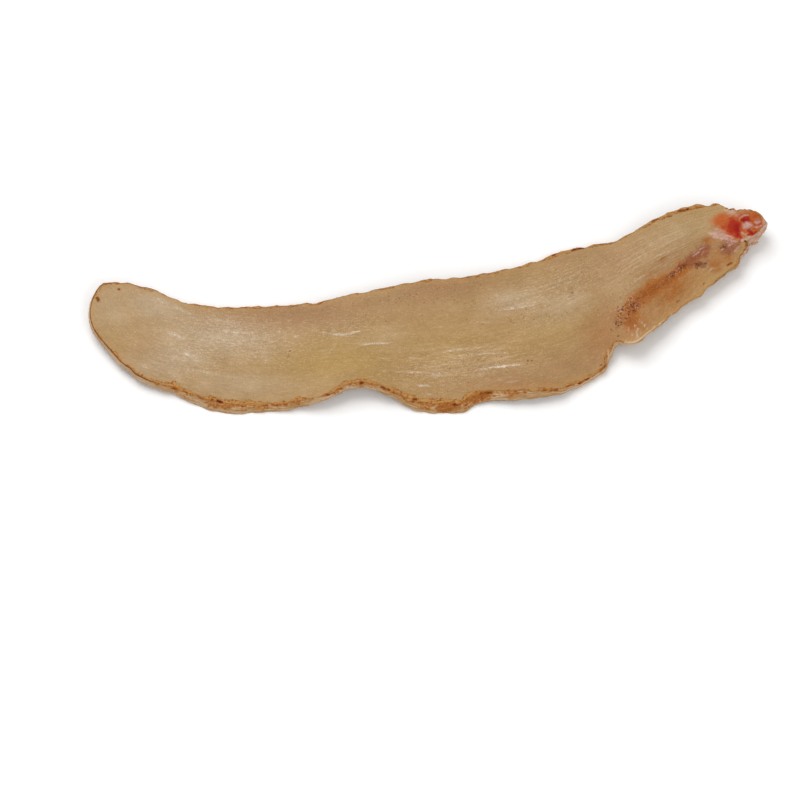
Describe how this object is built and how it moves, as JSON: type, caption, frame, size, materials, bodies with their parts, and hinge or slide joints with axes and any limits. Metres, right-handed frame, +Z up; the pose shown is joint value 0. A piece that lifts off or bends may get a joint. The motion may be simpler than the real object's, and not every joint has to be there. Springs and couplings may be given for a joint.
{
  "type": "dried gastrodia slice",
  "caption": "Dried gastrodia slice: a thin, waved lengthwise cut of the tuber with a brown rind round its edge and a coral-red bud at its narrow end.",
  "frame": {"origin": "centre of the slice's bounding box in X and Y, at the height of the low spots that it rests on (Z = 0)", "axes": "+X along the slice from the round root end to the bud, +Y across the slice towards the edge on the bud's side, +Z up from the surface that it lies on"},
  "size_m": [0.1406, 0.046, 0.0063],
  "materials": {
    "dried_flesh": "satin"
  },
  "bodies": {
    "root": {"gastrodia_slice": "dried_flesh"}
  },
  "joints": []
}
